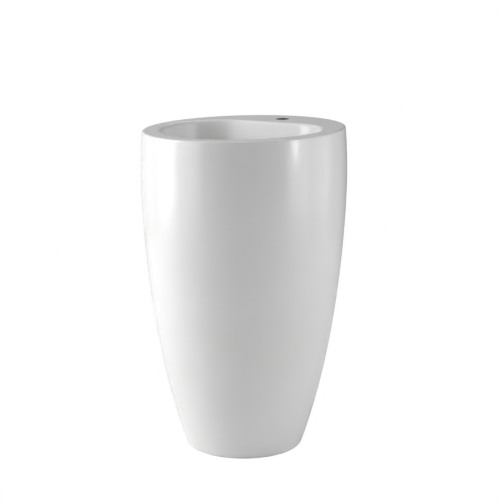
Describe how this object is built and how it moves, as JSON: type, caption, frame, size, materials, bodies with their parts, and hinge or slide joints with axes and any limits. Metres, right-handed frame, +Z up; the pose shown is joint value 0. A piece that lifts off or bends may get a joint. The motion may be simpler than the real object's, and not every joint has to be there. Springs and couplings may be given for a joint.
{
  "type": "pedestal sink",
  "caption": "One-piece round ceramic pedestal basin with a slanted rim, tap ledge, click waste, bottle trap and floor fixings.",
  "frame": {"origin": "centre of the foot, on the floor", "axes": "+Z up, +Y towards the wall (tap side), -Y towards the user"},
  "size_m": [0.53, 0.53, 0.8495],
  "materials": {
    "ceramic_glaze": "white gloss glaze",
    "chrome_plate": "polished chrome plate on brass",
    "brass": "turned, unplated",
    "black_rubber": "moulded, matt",
    "white_plastic": "moulded polypropylene, satin",
    "nylon": "natural nylon",
    "zinc_steel": "bright zinc plate"
  },
  "bodies": {
    "basin": {"ceramic_body": "ceramic_glaze", "waste_body": "chrome_plate", "screw_cover_caps": "chrome_plate", "waste_backnut": "brass", "cartridge_housing": "brass", "cartridge_nut": "brass", "flange_gasket": "black_rubber", "lower_gasket": "black_rubber", "trap_inlet_washer": "black_rubber", "dip_tube_washer": "black_rubber", "trap_outlet_washer": "black_rubber", "slip_washer": "white_plastic", "trap_inlet_nut": "white_plastic", "dip_tube": "white_plastic", "dip_tube_nut": "white_plastic", "trap_body": "white_plastic", "trap_outlet_nut": "white_plastic", "outlet_pipe": "white_plastic", "bracket_bushes": "nylon", "screw_sleeves": "nylon", "cartridge_spring": "zinc_steel", "floor_bracket_left": "zinc_steel", "floor_bracket_right": "zinc_steel", "body_fixing_screws": "zinc_steel"},
    "plug": {"plug_cap": "chrome_plate", "plug_seal": "black_rubber", "plug_stem": "brass"},
    "rotor": {"cartridge_rotor": "nylon"},
    "cup_carrier": {"trap_cup_seal": "black_rubber"},
    "cup": {"trap_cup": "white_plastic"}
  },
  "joints": [
    {"name": "plug_lift", "type": "slide", "parent": "basin", "child": "plug", "axis": [0, 0, 1], "range_m": [0, 0.009], "deforming": ["cartridge_spring"]},
    {"name": "rotor_index", "type": "hinge", "parent": "plug", "child": "rotor", "pos_m": [0, -0.045, 0.665], "axis": [0, 0, 1], "range_deg": [0, 60]},
    {"name": "cup_drop", "type": "slide", "parent": "basin", "child": "cup_carrier", "axis": [0, 0, -1], "range_m": [0, 0.012]},
    {"name": "cup_turn", "type": "hinge", "parent": "cup_carrier", "child": "cup", "pos_m": [0, -0.045, 0.5], "axis": [0, 0, -1], "range_deg": [0, 1080]}
  ],
  "couplings": [
    {"joint": "rotor_index", "follows": "plug_lift", "rad_per_m": 116.3},
    {"joint": "cup_drop", "follows": "cup_turn", "m_per_rad": 0.000636}
  ]
}
